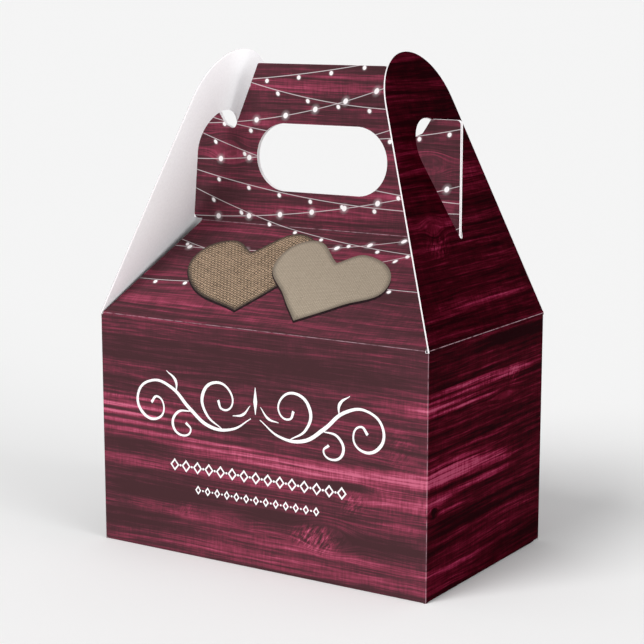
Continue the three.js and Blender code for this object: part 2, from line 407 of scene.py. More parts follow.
# %% The tone of the boards
TONE_LIFT = 0.24  # raises the whole picture, once its noises are centred on nothing


def board_lines(tree, along, grain, bright):
    """Long bright lines along the grain, only where the boards are bright."""
    lines = streaks(tree, along, grain, length=75, height=0.8, detail=4, seed=33.0, roughness=0.7)
    lines = add(tree, "Math", (lines, 1.9, -0.25), operation="MULTIPLY_ADD")
    lines = add(tree, "Math", (lines, 0.05), operation="MAXIMUM")
    return add(tree, "Math", (lines, bright), operation="MULTIPLY")


def stained_boards(tree, point, along, up):
    """The tone of the printed boards from 0, near black, to 1, bright crimson, and the fine fibre."""
    grain = grain_height(tree, point, along, up)
    bright = spots(tree, point, BRIGHT_BOARDS)
    fibre = streaks(tree, along, grain, length=8, height=0.32, detail=3, seed=8.9)
    layers = [
        (streaks(tree, along, grain, length=90, height=3.6, detail=2, seed=1.7), 0.9),
        (streaks(tree, along, grain, length=60, height=0.95, detail=2, seed=5.2), 1.15),
        (fibre, 0.95),
        (streaks(tree, along, up, length=5, height=4, detail=3, seed=15.0), 0.35),
    ]
    centred = [
        add(tree, "Math", (noise, share, share * -0.5), operation="MULTIPLY_ADD") for noise, share in layers
    ]
    tone = all_together(tree, "ADD", centred + [
        board_lines(tree, along, grain, bright),
        saw_marks(tree, along, up, bright),
        wrinkles(tree, point),
    ])
    tone = add(tree, "Math", (tone, spots(tree, point, DARK_BOARDS)), operation="SUBTRACT")
    tone = add(tree, "Math", (tone, TONE_LIFT), operation="ADD")
    return add(tree, "Clamp", (tone,)), fibre


print("the tone is lifted by", TONE_LIFT)

# %% [markdown]
# ## The light strings
# Over the boards, from the top crease of the body upwards, strings of tiny lights hang in shallow curves.
# They are part of the print too. They could be thin curves laid on the card, but ink has no height and runs
# over the ridge's fold, so they are drawn in the card's material. Each string is a parabola on the flat
# sheet with a dot every centimetre, and some dots carry a soft glow. Front and back have the same strings.

# %% Light strings
# Each row is (along of the lowest point, up of the lowest point, curve, first light, spacing, radius).
LIGHT_STRINGS = [
    (-60, 139.65, 0.00116, -17.1, 10.2, 0.6), (26, 134.5, 0.00253, -13.6, 9.55, 0.6),
    (-45, 128.8, 0.00268, -20.6, 9.45, 0.8), (4, 126.3, 0.00277, -22.5, 8.75, 0.62),
    (50, 111.3, 0.00189, -34.3, 9.7, 0.6), (-44, 119.0, 0.0024, -32.6, 9.5, 0.8),
    (28, 108.5, 0.00157, -33.3, 10.0, 0.6), (45, 95.0, 0.00212, -35.2, 9.34, 0.62),
    (-50, 103.0, 0.00153, -33.6, 10.25, 0.8), (34, 82.5, 0.00197, -38.4, 9.9, 0.62),
    (-35, 91.0, 0.00239, 8.4, 9.1, 0.8), (-45, 77.5, 0.00303, -30.5, 9.67, 0.62),
]
WIRE = 0.1  # half width; the real line is finer, and is drawn this wide so that it shows
WIRE_INK = 0.55  # how much of the wire's ink covers the boards
LARGE = 0.7  # a light with a larger radius sits on its string and glows; a smaller one hangs below
HANG = 0.85  # from the string down to the middle of a small light
GLOW_INK = 0.2


def light_string(tree, along, up, lowest, height, curve, first, spacing, radius):
    """How much white ink one string and its lights put at each point."""
    reach = add(tree, "Math", (along, lowest), operation="SUBTRACT")
    squared = add(tree, "Math", (reach, reach), operation="MULTIPLY")
    above = add(tree, "Math", (up, height), operation="SUBTRACT")
    above = add(tree, "Math", (squared, -curve, above), operation="MULTIPLY_ADD")
    distance = add(tree, "Math", (above,), operation="ABSOLUTE")
    wire = add(tree, "MapRange", (distance, WIRE * 0.4, WIRE * 1.5, WIRE_INK, 0.0), **SMOOTH)
    step = add(tree, "Math", (along, first - spacing / 2), operation="SUBTRACT")
    step = add(tree, "Math", (step, spacing), operation="FLOORED_MODULO")
    step = add(tree, "Math", (step, spacing / 2), operation="SUBTRACT")
    drop = add(tree, "Math", (above, 0.0 if radius > LARGE else HANG), operation="ADD")
    place = add(tree, "CombineXYZ", (step, drop))
    away = add(tree, "VectorMath", (place,), gives="Value", operation="LENGTH")
    light = add(tree, "MapRange", (away, radius * 0.75, radius * 1.12, 1.0, 0.0), **SMOOTH)
    halo = radius * (2.3 if radius > LARGE else 1.7)
    glow = add(tree, "MapRange", (away, radius * 0.6, halo, GLOW_INK, 0.0), **SMOOTH)
    return all_together(tree, "MAXIMUM", [wire, light, glow])


print(len(LIGHT_STRINGS), "light strings, lights about", LIGHT_STRINGS[0][4], "mm apart")

# %% [markdown]
# ## The printed card
# Coated paperboard has a thin clay layer that takes the ink, and a matt varnish over it. So the colour is
# deep, and the shine is broad and so weak that the darkest ink stays dark. Where the card is creased the
# layer cracks a little, and a pale hairline is drawn there: partly the bare board, and partly a painted
# highlight on the bend. Two colour ramps read the same tone. The narrow sides' ramp is darkened as painted
# shade, the wide sides' ramp lifts the darks as a painted sheen, and the place on the sheet picks between
# them. One material for the whole sheet keeps the print in step on every panel.

# %% A new material
CARD_IOR = 1.5  # paper fibre, clay coating and varnish are all near this


def new_material(name):
    """An empty material, and its node tree."""
    material = bpy.data.materials.new(name)
    material.use_nodes = True
    material.node_tree.nodes.clear()
    return material, material.node_tree


printed_card, tree = new_material("offset_printed_coated_board")
point = sheet_point(tree)
along = add(tree, "SeparateXYZ", (point,), gives="X")
up = add(tree, "SeparateXYZ", (point,), gives="Y")
print("printed card starts with", len(tree.nodes), "nodes")

# %% Boards, darkened as painted shade on the narrow sides and lifted as a painted sheen on the wide ones
EDGE_OF_WIDE_SIDE = (HALF_WIDTH - 0.2, HALF_WIDTH + 0.6)

tone, fibre = stained_boards(tree, point, along, up)
from_front = add(tree, "Math", (along, HALF_ROUND), operation="PINGPONG")
from_back = add(tree, "Math", (HALF_ROUND, from_front), operation="SUBTRACT")
wide_side = all_together(tree, "MAXIMUM", [
    add(tree, "MapRange", (reach, *EDGE_OF_WIDE_SIDE, 1.0, 0.0), **SMOOTH)
    for reach in (from_front, from_back)
])
# The narrow sides' ramp: the print's colours, darkened as painted shade for sides that stand in less light.
painted_shade_ramp = add(tree, "ValToRGB", (tone,), stops=[
    (0.0, "#160003"), (0.3, "#2e0109"), (0.55, "#4b081a"), (0.8, "#741c38"), (1.0, "#8e3b54"),
])
# The wide sides' ramp: the print's colours, with the darks lifted as a painted sheen, the pale floor's
# reflection.
lifted = add(tree, "ValToRGB", (tone,), stops=[
    (0.0, "#462c30"), (0.25, "#553038"), (0.5, "#7c3748"), (0.75, "#9f465e"), (1.0, "#c4647f"),
])
ink = add(tree, "Mix", {0: wide_side, 6: painted_shade_ramp, 7: lifted}, gives=2, data_type="RGBA")
print("with the boards it has", len(tree.nodes))

# %% Light strings over the boards
near = add(tree, "Math", (along, CENTRES, -CENTRES), operation="WRAP")
strings = all_together(tree, "MAXIMUM", [light_string(tree, near, up, *row) for row in LIGHT_STRINGS])
above_body = add(tree, "MapRange", (up, HEIGHT + 1.0, HEIGHT, 1.0, 0.0), **SMOOTH)
strung = add(tree, "Math", (strings, wide_side), operation="MULTIPLY")
strung = add(tree, "Math", (strung, above_body), operation="MULTIPLY")
ink = add(tree, "Mix", {0: strung, 6: ink, 7: colour("#fbf6f7")}, gives=2, data_type="RGBA")
print("with the light strings it has", len(tree.nodes))

# %% Cracks and painted highlights along the creases
FAR_AWAY = 300.0  # past every point of the sheet
CRACK_AND_HIGHLIGHT = (0.03, 0.14)  # half width of a crack and its painted highlight where it is whole, and where it ends
CRACK_AND_HIGHLIGHT_INK = 0.42
FIBRE_RELIEF = 0.012

narrow_side = add(tree, "Math", (1.0, wide_side), operation="SUBTRACT")
top_line = add(tree, "Math", (up, HEIGHT), operation="SUBTRACT")
ridge_line = add(tree, "Math", (up, HANDLE_UP), operation="SUBTRACT")
ridge_line = add(tree, "Math", (narrow_side, FAR_AWAY, ridge_line), operation="MULTIPLY_ADD")
corner_line = add(tree, "Math", (from_front, HALF_WIDTH), operation="SUBTRACT")
far_corner_line = add(tree, "Math", (from_front, HALF_ROUND - HALF_WIDTH), operation="SUBTRACT")
nearest = all_together(tree, "MINIMUM", [
    add(tree, "Math", (line,), operation="ABSOLUTE")
    for line in (top_line, ridge_line, corner_line, far_corner_line)
])
# A pale line along each crease: partly the cracked coating, partly a painted highlight on the bend, broken
# into patches by noise.
crack_and_highlight = add(tree, "MapRange", (nearest, *CRACK_AND_HIGHLIGHT, CRACK_AND_HIGHLIGHT_INK, 0.0), **SMOOTH)
line_patches = streaks(tree, along, up, length=3.0, height=3.0, detail=3, seed=21.0)
line_patches = add(tree, "MapRange", (line_patches, 0.62, 0.3, 1.0, 0.0), **SMOOTH)
crack_and_highlight = add(tree, "Math", (crack_and_highlight, line_patches), operation="MULTIPLY")
ink = add(tree, "Mix", {0: crack_and_highlight, 6: ink, 7: colour("#e0bcc8")}, gives=2, data_type="RGBA")

depth = {"Height": fibre, "Distance": FIBRE_RELIEF * MM, "Strength": 1.0}
relief = add(tree, "Bump", depth, gives="Normal")
shader = add(tree, "BsdfPrincipled", {
    "Base Color": ink, "Roughness": 0.5, "IOR": CARD_IOR, "Specular IOR Level": 0.004, "Normal": relief,
})
add(tree, "OutputMaterial", {"Surface": shader})
print("finished it has", len(tree.nodes))

# %% [markdown]
# ## The white back and the cut edge
# The back of the board isn't coated, so it is white without a shine, and its fibres show as a faint mottle.
# The knife tears the core's fibres a little, so a cut edge is rougher, finer in grain and less white. Both
# are bare board, so one function makes both, from a noise that gives the colour and the relief together.

# %% Bare board
def bare_board(name, grain_size, detail, roughness, stops, relief_depth, shader_roughness):
    """Bare paperboard: a faint mottle of that size, in millimetres, in colour and in relief."""
    material, tree = new_material(name)
    place = add(tree, "TexCoord", gives="Object")
    scale = 1 / (grain_size * MM)
    settings = {"Vector": place, "Scale": scale, "Detail": detail, "Roughness": roughness}
    mottle = add(tree, "TexNoise", settings)
    shade = add(tree, "ValToRGB", (mottle,), stops=stops)
    depth = {"Height": mottle, "Distance": relief_depth * MM, "Strength": 1.0}
    relief = add(tree, "Bump", depth, gives="Normal")
    shader = add(tree, "BsdfPrincipled", {
        "Base Color": shade, "Roughness": shader_roughness, "IOR": CARD_IOR, "Specular IOR Level": 0.3,
        "Normal": relief,
    })
    add(tree, "OutputMaterial", {"Surface": shader})
    return material


white_stops = [(0.3, "#f6f5f7"), (0.7, "#fdfcfe")]
white_card = bare_board("uncoated_white_board_back", 0.6, 3.0, 0.6, white_stops, 0.02, 0.85)
core_stops = [(0.3, "#e6dfe1"), (0.7, "#fbf8f9")]
cut_edge = bare_board("cut_white_board_core", 0.25, 2.0, 0.7, core_stops, 0.03, 0.9)

CARD_FINISHES = [printed_card, white_card, cut_edge]
print("card finishes:", ", ".join(finish.name for finish in CARD_FINISHES))

# %% [markdown]
# ## Card
# Board for small cartons is white through and coated on one side. A Solidify and a Bevel modifier could
# thicken and soften it, but only the cut rim of the printed face is soft, and they would need that rim
# marked. So a panel is filled from its outline, extruded downwards from the printed face, and bevelled
# along its cut rim, where the knife presses the coating round. Three finishes go on it: the print, the
# white back and the white cut edge. An edge that goes on into a crease isn't cut, so it stays square.

# %% Fill and thicken
SOFT_EDGE = 0.07  # how far the knife rounds the printed face's rim
PRINT, WHITE_BACK, CUT_EDGE = 0, 1, 2  # places in a card piece's list of finishes


def fill_flat(bm):
    """Fills the outline and its holes with triangles that face up."""
    bmesh.ops.triangle_fill(bm, edges=bm.edges[:], use_beauty=True)
    bmesh.ops.recalc_face_normals(bm, faces=bm.faces[:])
    if sum(face.normal.z * face.calc_area() for face in bm.faces) < 0:
        bmesh.ops.reverse_faces(bm, faces=bm.faces[:])


def no_edge(edge):
    """None of a panel's edges goes on into a crease."""
    return False


def thicken(bm, thickness=CARD, soften=SOFT_EDGE, joined=no_edge):
    """Gives a flat sheet its thickness, downwards if positive, and softens the rim of its top face."""
    rim = [edge for edge in bm.edges if edge.is_boundary]
    moved = bmesh.ops.extrude_face_region(bm, geom=bm.faces[:], use_keep_orig=True)["geom"]
    verts = [item for item in moved if isinstance(item, bmesh.types.BMVert)]
    bmesh.ops.translate(bm, verts=verts, vec=(0, 0, -thickness))
    bmesh.ops.recalc_face_normals(bm, faces=bm.faces[:])
    cut = [edge for edge in rim if not joined(edge)]
    if soften:
        bmesh.ops.bevel(bm, geom=cut, offset=soften, offset_type="OFFSET", segments=2, profile=0.5,
                        affect="EDGES", material=-1, clamp_overlap=True)


print("card is", round(CARD, 2), "mm thick")


# %% Finish and place
SHARP_FROM = math.radians(50)  # an edge between faces that meet at more than this stays sharp


def finish_sides(bm):
    """Print on top, white below, and the white core at the cut edges."""
    for face in bm.faces:
        up = face.normal.z
        face.material_index = PRINT if up > 0.3 else WHITE_BACK if up < -0.5 else CUT_EDGE


def lay_print(bm, panel):
    """Writes each corner's place on the flat sheet, in metres, into the print's UV map."""
    uv = bm.loops.layers.uv.new("print")
    for face in bm.faces:
        for loop in face.loops:
            loop[uv].uv = (panel.sheet @ loop.vert.co).xy * MM


def put_in_place(bm, name, panel, materials, smooth=False):
    """Moves the mesh from its flat frame into the box, and makes the object at the origin."""
    bmesh.ops.transform(bm, matrix=Matrix.Scale(MM, 4) @ panel.frame, verts=bm.verts[:])
    mesh = bpy.data.meshes.new(name)
    bm.to_mesh(mesh)
    bm.free()
    for material in materials:
        mesh.materials.append(material)
    if smooth:
        mesh.shade_smooth()
        mesh.set_sharp_from_angle(angle=SHARP_FROM)
    else:
        mesh.shade_flat()
    piece = bpy.data.objects.new(name, mesh)
    bpy.context.collection.objects.link(piece)
    return piece


def card_panel(name, panel, draw, body, joined=no_edge):
    """A whole panel: outline, fill, thickness, print and place. It stands for the CAD node of its name."""
    bm = bmesh.new()
    draw(bm)
    fill_flat(bm)
    thicken(bm, joined=joined)
    finish_sides(bm)
    lay_print(bm, panel)
    piece = put_in_place(bm, f"{name}_card", panel, CARD_FINISHES)
    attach(piece, body)
    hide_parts(name)
    print(name, len(piece.data.polygons), "faces")


print("a softened edge is", SOFT_EDGE, "mm wide")

# %% [markdown]
# ## Creases
# A crease is a pressed line that the card bends at. A bevel between two panels would be simpler, but the
# panels move on their own, so each bend is a piece too. Its cross-section is a rectangle as thick as the
# card, extruded and turned in steps about a centre below the printed face, or above it where the fold goes
# the other way. Both its ends meet the panels exactly. A crease that works as a hinge is blended from one
# panel to the other, so it stays joined to both as they turn.

# %% Sweep round a bend
BEND_STEPS = 5


def sweep(bm, face, start, bends, run, run_to):
    """Extrudes a cross-section round its bends, and gives the place where its printed side ends. Run is the
    layer that says how far up the flat sheet each point lies."""
    heading, place, travelled = 0.0, Vector((0, start, 0)), 0.0
    length = sum(abs(angle) * size if angle else size for angle, size in bends)
    for angle, size in bends:
        onward = Matrix.Rotation(heading, 3, "X") @ Vector((0, 1, 0))
        out = Matrix.Rotation(heading, 3, "X") @ Vector((0, 0, 1))
        steps = BEND_STEPS if angle else 1
        centre = place - out * math.copysign(size, angle)
        step = Matrix.Rotation(-angle / steps, 4, "X")
        for _ in range(steps):
            made = bmesh.ops.extrude_face_region(bm, geom=[face])["geom"]
            face = next(item for item in made if isinstance(item, bmesh.types.BMFace))
            if angle:
                bmesh.ops.rotate(bm, verts=face.verts[:], cent=centre, matrix=step)
            else:
                bmesh.ops.translate(bm, verts=face.verts[:], vec=onward * size)
            travelled += (abs(angle) * size if angle else size) / steps
            for vert in face.verts:
                vert[run] = start + (run_to - start) * travelled / length
        if angle:
            place = centre + Matrix.Rotation(-angle, 3, "X") @ (place - centre)
            heading -= angle
        else:
            place = place + onward * size
    return place


print("a bend has", BEND_STEPS, "steps")


# %% Make a crease
def crease(name, panel, reaches, start, bends, run_to):
    """Sweeps the card's cross-section from that far up a panel round its bends, along X from low to high.
    A bend is (angle, radius of the printed face), folding back if positive, or (0, length) if straight."""
    low, high = reaches
    bm = bmesh.new()
    corners = [(low, start, 0), (high, start, 0), (high, start, -CARD), (low, start, -CARD)]
    face = bm.faces.new([bm.verts.new(corner) for corner in corners])
    uv = bm.loops.layers.uv.new("print")
    inner = bm.verts.layers.int.new("inner")
    run = bm.verts.layers.float.new("run")
    for vert in bm.verts:
        vert[inner] = vert.co.z < 0
        vert[run] = start
    place = sweep(bm, face, start, bends, run, run_to)
    bmesh.ops.recalc_face_normals(bm, faces=bm.faces[:])
    for item in bm.faces:
        sides = {vert[inner] for vert in item.verts}
        item.material_index = CUT_EDGE if len(sides) == 2 else WHITE_BACK if sides == {1} else PRINT
        for loop in item.loops:
            flat = Vector((loop.vert.co.x, loop.vert[run], 0))
            loop[uv].uv = (panel.sheet @ flat).xy * MM
    bm.verts.layers.int.remove(inner)
    bm.verts.layers.float.remove(run)
    piece = put_in_place(bm, name, panel, CARD_FINISHES, smooth=True)
    return piece, place


def hinge_crease(name, panel, up, half_length, angle, bodies):
    """A crease that turns with the panels on both its sides."""
    radius = CREASE / math.tan(abs(angle) / 2)
    reaches = (-half_length, half_length)
    piece, _ = crease(name, panel, reaches, up - CREASE, [(angle, radius)], up + CREASE)
    beyond = fold(panel, up, -angle)
    start = panel.frame @ Vector((0, up - CREASE, 0)) * MM
    end = beyond.frame @ Vector((0, CREASE, 0)) * MM
    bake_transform(piece, *bodies, start=start, end=end)
    print(name, "blends over", round((end - start).length / MM, 2), "mm")


print("a crease is", round(2 * CREASE, 2), "mm wide on the flat sheet")

# %% [markdown]
# ## The body
# Four walls stand round the goods. Three upright corners are plain bends. At the fourth, back left, the
# side wall turns into the glue flap, which is stuck inside the back panel, so the back panel's raw edge
# shows. A wall is a rectangle, so a grid of one face, scaled, is enough.

# %% Walls
WALL_TOP = HEIGHT - CREASE
WALL_FOOT = 0.55  # from the table to where a wall starts to turn under
SIDE_HALF = HALF_DEPTH - CORNER
FRONT_HALF = HALF_WIDTH - CORNER
SEAM = 0.5  # bend radius of the glue flap's crease
GLUE = 0.02
BACK_INNER = HALF_DEPTH - CARD - GLUE  # from the middle to the printed face of the glue flap


def every_edge(edge):
    """All of a panel's edges go on into creases."""
    return True


def all_but_raw_edge(edge):
    """The back panel's edges go on into creases, but for the raw one beside the seam."""
    return sum(vert.co.x for vert in edge.verts) / 2 < HALF_WIDTH - SEAM


def wall_outline(low, high):
    """What draws a wall's outline from low to high, between its foot and its top crease."""
    def draw(bm):
        bmesh.ops.create_grid(bm, x_segments=1, y_segments=1, size=0.5)
        bmesh.ops.scale(bm, vec=(high - low, WALL_TOP - WALL_FOOT, 1), verts=bm.verts[:])
        middle = ((low + high) / 2, (WALL_FOOT + WALL_TOP) / 2, 0)
        bmesh.ops.translate(bm, vec=middle, verts=bm.verts[:])
        bmesh.ops.delete(bm, geom=bm.faces[:], context="FACES_ONLY")
    return draw


for name, panel, low, high, joined in (
    ("front_panel", front, -FRONT_HALF, FRONT_HALF, every_edge),
    ("right_side_panel", right, -SIDE_HALF, SIDE_HALF, every_edge),
    ("left_side_panel", left, SEAM - BACK_INNER, SIDE_HALF, every_edge),
    ("back_panel", back, -FRONT_HALF, HALF_WIDTH, all_but_raw_edge),
):
    card_panel(name, panel, wall_outline(low, high), "carton", joined)


# %% Upright corners
def turned(panel):
    """The same panel with Y to the right and X down, to work on an upright crease."""
    quarter = Matrix.Rotation(-QUARTER_TURN, 4, "Z")
    return Panel(panel.frame @ quarter, panel.sheet @ quarter)


for name, panel, half in (
    ("front_right_corner", front, HALF_WIDTH),
    ("back_right_corner", right, HALF_DEPTH),
    ("front_left_corner", left, HALF_DEPTH),
):
    bend = [(QUARTER_TURN, CORNER)]
    piece, _ = crease(name, turned(panel), (-WALL_TOP, 0), half - CORNER, bend, half + CORNER)
    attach(piece, "carton")
    print(name, "bends at a radius of", CORNER, "mm")

# %% Glue flap
SEAM_SLANT = 3.0

seam = wall(BACK, BACK_INNER, -HALF_ROUND)
seam_low, seam_high = (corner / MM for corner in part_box("glue_flap"))
seam_start = HALF_WIDTH - SEAM
bend = [(QUARTER_TURN, SEAM)]
reaches = (-WALL_TOP, -WALL_FOOT)
piece, _ = crease("glue_flap_crease", turned(seam), reaches, seam_start, bend, HALF_WIDTH + SEAM)
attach(piece, "carton")


def close_loop(bm, verts):
    """Joins vertices in a ring with the edges that are missing."""
    for one, other in zip(verts, verts[1:] + verts[:1]):
        if bm.edges.get((one, other)) is None:
            bm.edges.new((one, other))


def draw_glue_flap(bm):
    """A strip along the seam whose ends are cut at a slant."""
    corners = [
        (seam_start, seam_low.z), (seam_start, seam_high.z),
        (-seam_high.x, seam_high.z - SEAM_SLANT), (-seam_high.x, seam_low.z + SEAM_SLANT),
    ]
    close_loop(bm, [bm.verts.new((x, y, 0)) for x, y in corners])


card_panel("glue_flap", seam, draw_glue_flap, "carton")

# %% [markdown]
# ## The roof and the handle
# The front and back roofs lean in to a ridge, and a handle panel stands on each, white back to white back.
# A roof is a plain trapezoid. A handle panel has a hand hole with round ends, and a notch on each side
# where the gable flaps hook over its wings. Each outline is drawn as corners with a radius each, because
# that is how a cutting die is drawn, and a vertex bevel rounds them.

# %% Roof panels
ROOF_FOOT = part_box("front_roof_panel")[1].x / MM
ROOF_HEAD = 39.3
SAME_PLACE = 1e-3  # points closer than this are level with each other
CORNER_STEPS = 6


def rounded_outline(bm, corners):
    """Edges through corners (x, y, r) of a right half and its mirror image, each rounded to radius r."""
    both = corners + [(-x, y, r) for x, y, r in reversed(corners)]
    verts = [bm.verts.new((x, y, 0)) for x, y, _ in both]
    bm.faces.new(verts)
    for vert, (_, _, radius) in zip(verts, both):
        if radius:
            one, other = [edge.other_vert(vert).co - vert.co for edge in vert.link_edges]
            cut = radius / math.tan(one.angle(other) / 2)
            bmesh.ops.bevel(bm, geom=[vert], offset=cut, offset_type="OFFSET", segments=CORNER_STEPS,
                            profile=0.5, affect="VERTICES", material=-1)
    bmesh.ops.delete(bm, geom=bm.faces[:], context="FACES_ONLY")


def draw_roof(bm):
    """The trapezoid between the body's top crease and the ridge."""
    rounded_outline(bm, [(ROOF_FOOT, CREASE, 0), (ROOF_HEAD, ROOF_SLANT - CREASE, 0)])


def is_level(edge):
    """Whether an edge runs along a crease: such an edge isn't a cut one."""
    return abs(edge.verts[0].co.y - edge.verts[1].co.y) < SAME_PLACE


card_panel("front_roof_panel", front_roof, draw_roof, "front_roof", is_level)
card_panel("back_roof_panel", back_roof, draw_roof, "back_roof", is_level)

# %% Handle panels
WING = (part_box("front_handle_panel")[1] / MM).x
HOLE_RADIUS, HOLE_SEGMENTS = 9.15, 48
HOLE_REACH = 11.35  # from the middle to the centre of each round end
HOLE_UP = 104.7 - RIDGE_HEIGHT


def draw_handle(bm):
    """The wings, the notches above them, the grip and its hand hole."""
    rounded_outline(bm, [
        (WING, CREASE, 1.4), (WING, 30.6, 1.1), (33.4, 30.6, 0.6),
        (30.9, 26.9, 0.8), (27.9, 25.6, 1.2), (20, HANDLE_TOP - RIDGE_HEIGHT, 0.6),
    ])
    half_step = Matrix.Rotation(math.pi / HOLE_SEGMENTS, 4, "Z")
    place = Matrix.Translation((0, HOLE_UP, 0)) @ half_step
    hole = bmesh.ops.create_circle(bm, segments=HOLE_SEGMENTS, radius=HOLE_RADIUS, matrix=place)["verts"]
    for vert in hole:
        vert.co.x += math.copysign(HOLE_REACH, vert.co.x)


def is_foot(edge):
    """Whether an edge lies at a panel's foot, on its crease."""
    return max(vert.co.y for vert in edge.verts) < CREASE + SAME_PLACE


card_panel("front_handle_panel", front_handle, draw_handle, "front_handle", is_foot)
card_panel("back_handle_panel", back_handle, draw_handle, "back_handle", is_foot)

# %% [markdown]
# ## The gable flaps
# A flap closes each end. It tapers to a round end, and its slot is a teardrop: the wide end passes over the
# handle's wings, and the narrow end grips them. Both outlines are arcs, spun, and joined by straight lines
# that touch them, so the arcs start and end square to the lines.

# %% Gable flaps
FLAP_LENGTH, FLAP_FOOT, FLAP_TAPER = 74.5, 31.5, 0.238
SLOT_TIP, SLOT_TIP_RADIUS = 25.5, 0.9
SLOT_HEAD, SLOT_HEAD_RADIUS = 48.2, 8.6
HEAD_STEPS, SLOT_STEPS, TIP_STEPS = 28, 32, 8


def in_order(first):
    """The vertices of a line or ring of edges, in order from one of them."""
    chain = [first]
    while True:
        onward = [edge.other_vert(chain[-1]) for edge in chain[-1].link_edges]
        onward = [vert for vert in onward if vert not in chain]
        if not onward:
            return chain
        chain.append(onward[0])


def arc(bm, start, centre, angle, steps):
    """The vertices of an arc, spun from a starting point."""
    first = bm.verts.new((*start, 0))
    bmesh.ops.spin(bm, geom=[first], cent=(*centre, 0), axis=(0, 0, 1), angle=angle, steps=steps)
    return in_order(first)


def draw_gable_flap(bm):
    """The tapered flap with its round end and its teardrop slot."""
    taper = math.atan(FLAP_TAPER)
    middle = (FLAP_LENGTH - FLAP_FOOT * math.cos(taper)) / (1 - math.sin(taper))
    radius = FLAP_LENGTH - middle
    foot = FLAP_FOOT - FLAP_TAPER * CREASE
    start = (radius * math.cos(taper), middle + radius * math.sin(taper))
    end = arc(bm, start, (0, middle), math.pi - 2 * taper, HEAD_STEPS)
    feet = [bm.verts.new((-foot, CREASE, 0)), bm.verts.new((foot, CREASE, 0))]
    close_loop(bm, end + feet)
    spread = math.asin((SLOT_HEAD_RADIUS - SLOT_TIP_RADIUS) / (SLOT_HEAD - SLOT_TIP))
    side, rise = math.cos(spread), -math.sin(spread)
    head_start = (SLOT_HEAD_RADIUS * side, SLOT_HEAD + SLOT_HEAD_RADIUS * rise)
    head = arc(bm, head_start, (0, SLOT_HEAD), math.pi + 2 * spread, SLOT_STEPS)
    tip_start = (-SLOT_TIP_RADIUS * side, SLOT_TIP + SLOT_TIP_RADIUS * rise)
    tip = arc(bm, tip_start, (0, SLOT_TIP), math.pi - 2 * spread, TIP_STEPS)
    close_loop(bm, head + tip)


card_panel("left_gable_flap", left_gable, draw_gable_flap, "left_flap", is_foot)
card_panel("right_gable_flap", right_gable, draw_gable_flap, "right_flap", is_foot)

# %% [markdown]
# ## The hinges
# Six creases work as hinges: the roof's and the flaps' at the top of the body, and the handle's at the
# ridge. Each is the same bend as any other crease, laid between two panels that turn on each other.

# %% Hinge creases
for name, panel, up, half_length, angle, bodies in (
    ("front_roof_crease", front, HEIGHT, ROOF_FOOT, ROOF_LEAN, ("carton", "front_roof")),
    ("back_roof_crease", back, HEIGHT, ROOF_FOOT, ROOF_LEAN, ("carton", "back_roof")),
    ("left_flap_crease", left, HEIGHT, FLAP_FOOT, FLAP_LEAN, ("carton", "left_flap")),
    ("right_flap_crease", right, HEIGHT, FLAP_FOOT, FLAP_LEAN, ("carton", "right_flap")),
    ("front_ridge_crease", front_roof, ROOF_SLANT, ROOF_HEAD, -ROOF_LEAN, ("front_roof", "front_handle")),
    ("back_ridge_crease", back_roof, ROOF_SLANT, ROOF_HEAD, -ROOF_LEAN, ("back_roof", "back_handle")),
):
    hinge_crease(name, panel, up, half_length, angle, bodies)

# %% [markdown]
# ## The bottom
# The bottom locks without glue: the front flap closes over the side flaps, and its tongue goes up through
# the notch of the back flap. The flaps lie in layers, so each wall turns under at the table and the card
# then climbs to its own layer.

# %% Bottom creases
CLIMB = math.radians(35)
TURN_RADIUS = 0.5
CLIMB_RADIUS = 0.3
UPSIDE_DOWN = Matrix.Rotation(math.pi, 4, "Z")


def bottom_crease(side, panel, reaches, layer):
    """The bend from a wall to its bottom flap, and how far in from the wall's face it ends."""
    bends = [(QUARTER_TURN, WALL_FOOT)]
    if layer > WALL_FOOT:
        bottom = WALL_FOOT - TURN_RADIUS * math.cos(CLIMB)
        slope = (layer - bottom - CLIMB_RADIUS * (1 - math.cos(CLIMB))) / math.sin(CLIMB)
        bends = [(QUARTER_TURN + CLIMB, TURN_RADIUS), (0, slope), (-CLIMB, CLIMB_RADIUS)]
    under = Panel(panel.frame @ UPSIDE_DOWN, panel.sheet @ UPSIDE_DOWN)
    piece, end = crease(f"{side}_bottom_crease", under, reaches, -WALL_FOOT, bends, WALL_FOOT)
    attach(piece, "carton")
    return -end.z


print("the card climbs at", round(math.degrees(CLIMB)), "degrees")

# %% The tongue
INSIDE = 0.75  # from a wall's face to where the flap lengths are measured from
TONGUE_RISE = (26.5, 34.5)  # how far in the tongue starts and stops bending up
TONGUE_STEPS = 6
TONGUE_GAP = 0.3  # between the tongue and the back flap that it lies on


def cut_for_rise(bm):
    """Cuts the flat tongue across where it will bend."""
    first, last = TONGUE_RISE
    for i in range(TONGUE_STEPS + 1):
        place = (0, -INSIDE - first - (last - first) * i / TONGUE_STEPS, 0)
        everything = bm.verts[:] + bm.edges[:] + bm.faces[:]
        bmesh.ops.bisect_plane(bm, geom=everything, plane_co=place, plane_no=(0, 1, 0))


def bend_tongue_up(bm):
    """Bends the front flap's tongue up through the notch, onto the back flap."""
    first, last = TONGUE_RISE
    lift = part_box("back_bottom_flap")[1].z / MM + TONGUE_GAP
    for vert in bm.verts:
        share = min(max((-INSIDE - vert.co.y - first) / (last - first), 0), 1)
        vert.co.z -= lift * share * share * (3 - 2 * share)


print("the tongue bends over", TONGUE_RISE[1] - TONGUE_RISE[0], "mm")


